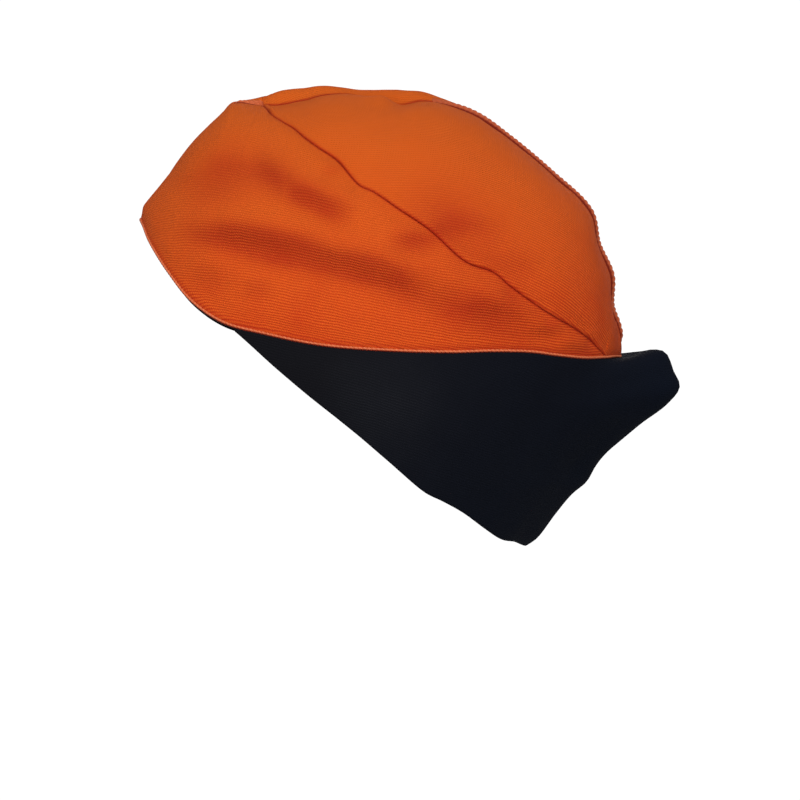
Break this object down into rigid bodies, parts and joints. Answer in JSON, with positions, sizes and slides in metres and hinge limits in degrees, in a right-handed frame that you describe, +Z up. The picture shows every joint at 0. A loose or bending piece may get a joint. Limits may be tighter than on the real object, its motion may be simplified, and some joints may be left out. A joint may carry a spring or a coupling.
{
  "type": "welding cap with neck flap",
  "caption": "Soft four-panel twill welding cap, orange, with a rolled rim edge and a black flap of doubled cloth hanging from the temples round the nape.",
  "frame": {"origin": "middle of the head opening, halfway between the rim's brow point and its nape point", "axes": "+Z up as the cap is worn, brow towards -Y, nape towards +Y, the wearer's left towards +X"},
  "size_m": [0.1652, 0.2379, 0.2045],
  "materials": {
    "orange_twill": "matte brushed cotton twill",
    "edge_twill": "matte cotton twill, rolled and worn pale",
    "black_twill": "matte cotton twill, doubled"
  },
  "bodies": {
    "root": {"crown_side_left": "orange_twill", "crown_side_right": "orange_twill", "crown_top_left": "orange_twill", "crown_top_right": "orange_twill", "centre_welt": "edge_twill", "rolled_edge": "edge_twill", "inner_band": "black_twill", "neck_flap": "black_twill"}
  },
  "joints": []
}
